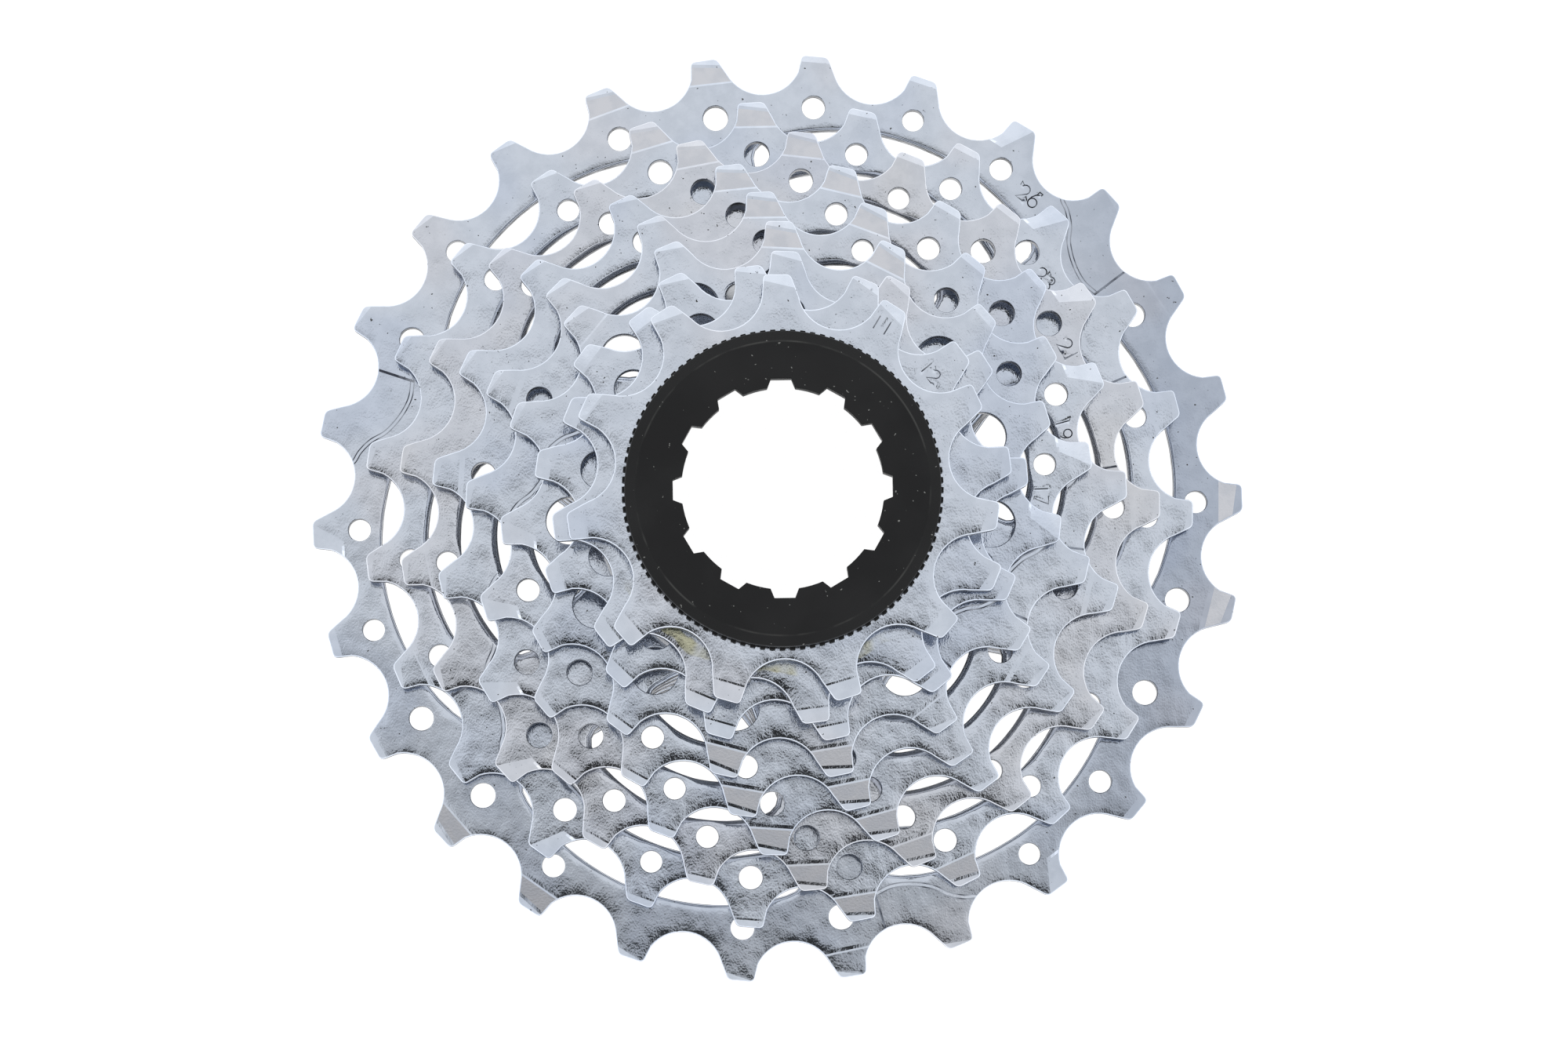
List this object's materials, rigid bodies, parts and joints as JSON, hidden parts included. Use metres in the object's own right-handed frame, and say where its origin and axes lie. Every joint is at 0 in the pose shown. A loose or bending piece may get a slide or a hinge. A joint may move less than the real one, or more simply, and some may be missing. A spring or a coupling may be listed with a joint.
{
  "type": "bicycle cassette",
  "caption": "Conical stack of plated steel bicycle sprockets with lightening windows around a splined bore, closed by a black notched lockring.",
  "frame": {"origin": "on the axle's axis, at the back face of the largest sprocket", "axes": "+Z along the axle from the largest sprocket to the lockring; +Y is up in the picture and +X is right"},
  "size_m": [0.1068, 0.1066, 0.0393],
  "materials": {
    "plated_steel": "bright plated stamped steel, smooth on the upper faces",
    "spacer_alloy": "turned grey metal",
    "rivet_steel": "zinc-plated",
    "black_steel": "black oxide",
    "black_coating": "matte black coating"
  },
  "bodies": {
    "cluster": {"sprocket_26t": "plated_steel", "sprocket_23t": "plated_steel", "sprocket_21t": "plated_steel", "sprocket_19t": "plated_steel", "sprocket_17t": "plated_steel", "sprocket_15t": "plated_steel", "spacer_26t_23t": "spacer_alloy", "spacer_23t_21t": "spacer_alloy", "spacer_21t_19t": "spacer_alloy", "spacer_19t_17t": "spacer_alloy", "spacer_17t_15t": "spacer_alloy", "rivet_1": "rivet_steel", "rivet_2": "rivet_steel", "rivet_3": "rivet_steel"},
    "loose_spacer": {"spacer_15t_13t": "spacer_alloy"},
    "loose_13t": {"sprocket_13t": "plated_steel"},
    "loose_12t": {"sprocket_12t": "plated_steel"},
    "loose_11t": {"sprocket_11t": "plated_steel"},
    "washer": {"lockring_washer": "black_steel"},
    "lockring_body": {"lockring": "black_coating"}
  },
  "joints": [
    {"name": "spacer_off", "type": "slide", "parent": "cluster", "child": "loose_spacer", "axis": [0, 0, 1], "range_m": [0, 0.015]},
    {"name": "sprocket_13t_off", "type": "slide", "parent": "loose_spacer", "child": "loose_13t", "axis": [0, 0, 1], "range_m": [0, 0.015]},
    {"name": "sprocket_12t_off", "type": "slide", "parent": "loose_13t", "child": "loose_12t", "axis": [0, 0, 1], "range_m": [0, 0.015]},
    {"name": "sprocket_11t_off", "type": "slide", "parent": "loose_12t", "child": "loose_11t", "axis": [0, 0, 1], "range_m": [0, 0.015]},
    {"name": "lockring_travel", "type": "slide", "parent": "loose_11t", "child": "washer", "axis": [0, 0, 1], "range_m": [0, 0.0053]},
    {"name": "lockring_turn", "type": "hinge", "parent": "washer", "child": "lockring_body", "pos_m": [0, 0, 0.03742], "axis": [0, 0, 1], "range_deg": [0, 1800]}
  ],
  "couplings": [
    {"joint": "lockring_travel", "follows": "lockring_turn", "m_per_rad": 0.00016839}
  ]
}
